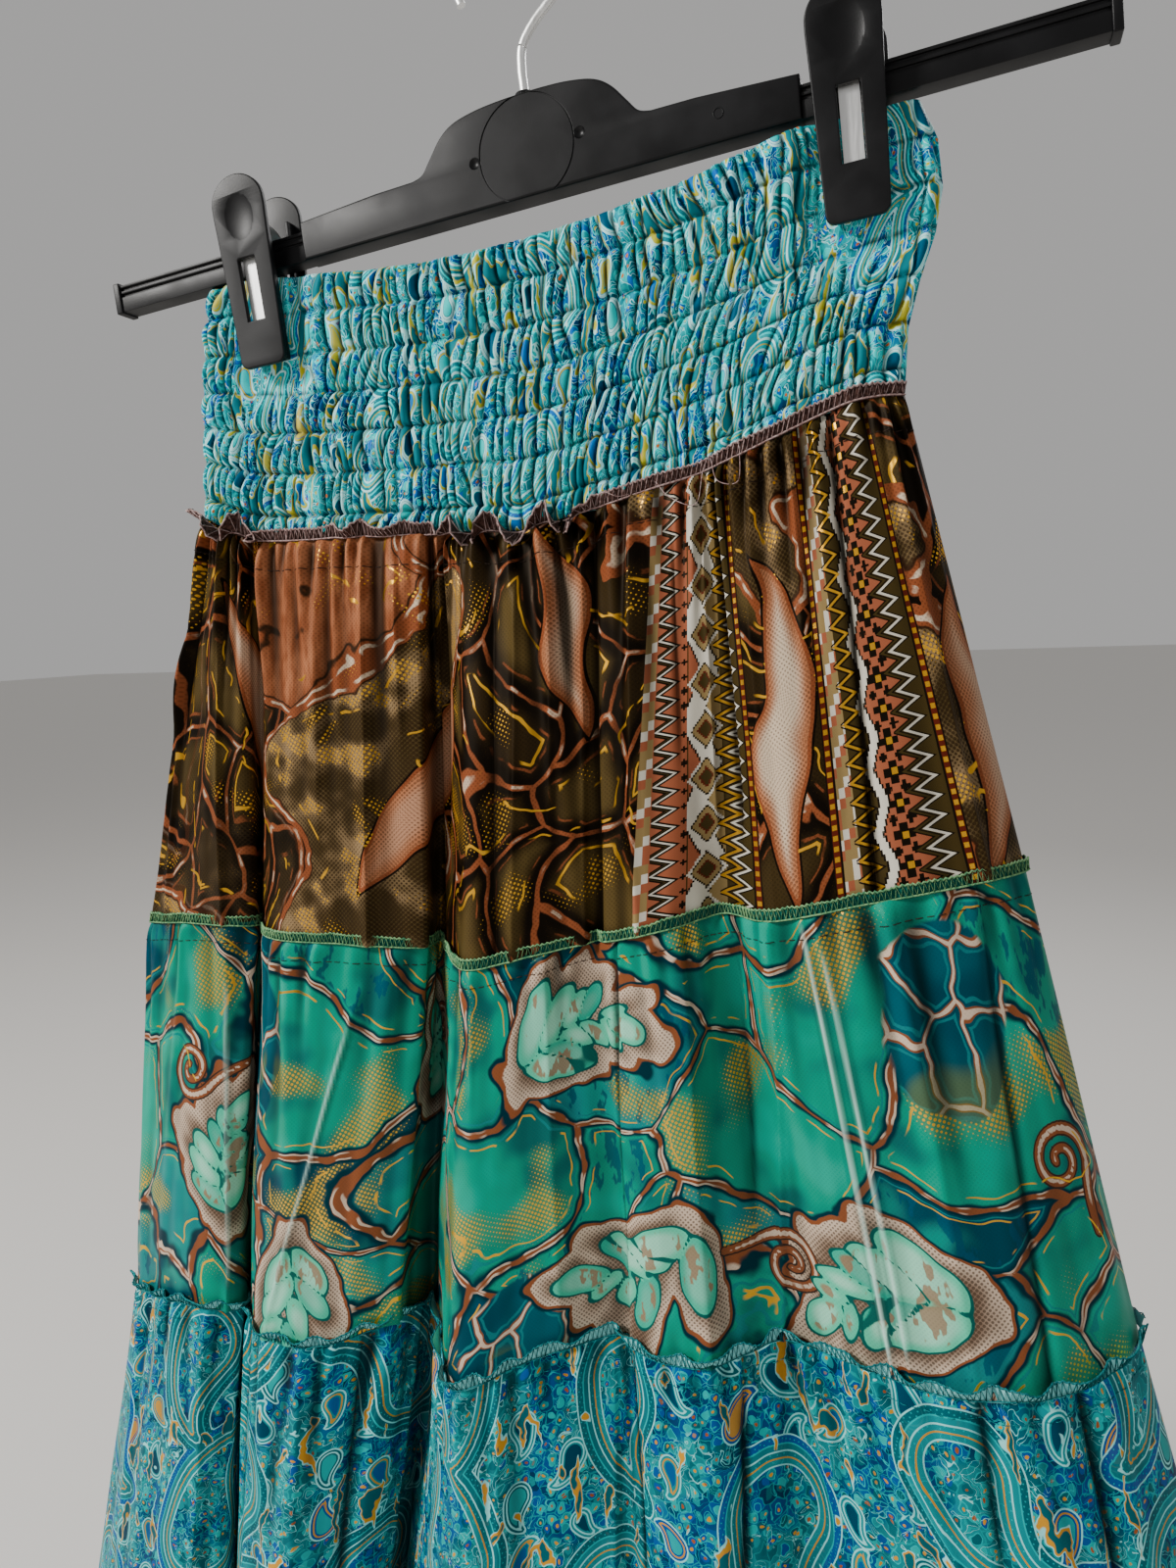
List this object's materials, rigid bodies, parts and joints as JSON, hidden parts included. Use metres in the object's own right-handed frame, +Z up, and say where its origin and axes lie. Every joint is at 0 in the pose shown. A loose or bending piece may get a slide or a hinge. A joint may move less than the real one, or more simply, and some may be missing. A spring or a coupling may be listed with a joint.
{
  "type": "tiered gypsy skirt on a clip hanger",
  "caption": "Tiered gathered skirt with a shirred elastic waistband and patterned cloth tiers, hung by its band from a black clip hanger with a wire hook.",
  "frame": {"origin": "inside top of the hanger hook, on the hanger's centre line, where a rail carries it", "axes": "+Z up, +Y towards the back of the skirt, +X to the right as seen from the front"},
  "size_m": [0.5358, 0.118, 0.7389],
  "materials": {
    "paisley_cotton": "soft printed viscose, turquoise paisley with white and gold outlines",
    "brown_print": "satin printed viscose, dark brown and copper with gold foil dots",
    "teal_print": "satin printed viscose, emerald and petrol with copper veins",
    "black_plastic": "moulded black plastic with a fine satin grain",
    "bright_steel": "bright spring steel"
  },
  "bodies": {
    "root": {"waistband_front": "paisley_cotton", "waistband_back": "paisley_cotton", "tier1_front": "brown_print", "tier1_back": "brown_print", "tier2_front": "teal_print", "tier2_back": "teal_print", "tier3_front": "paisley_cotton", "tier3_back": "paisley_cotton", "hanger_bar": "black_plastic", "hanger_hook": "bright_steel", "clip_left_front_arm": "black_plastic", "clip_left_back_arm": "black_plastic", "clip_left_spring": "bright_steel", "clip_right_front_arm": "black_plastic", "clip_right_back_arm": "black_plastic", "clip_right_spring": "bright_steel"}
  },
  "joints": []
}
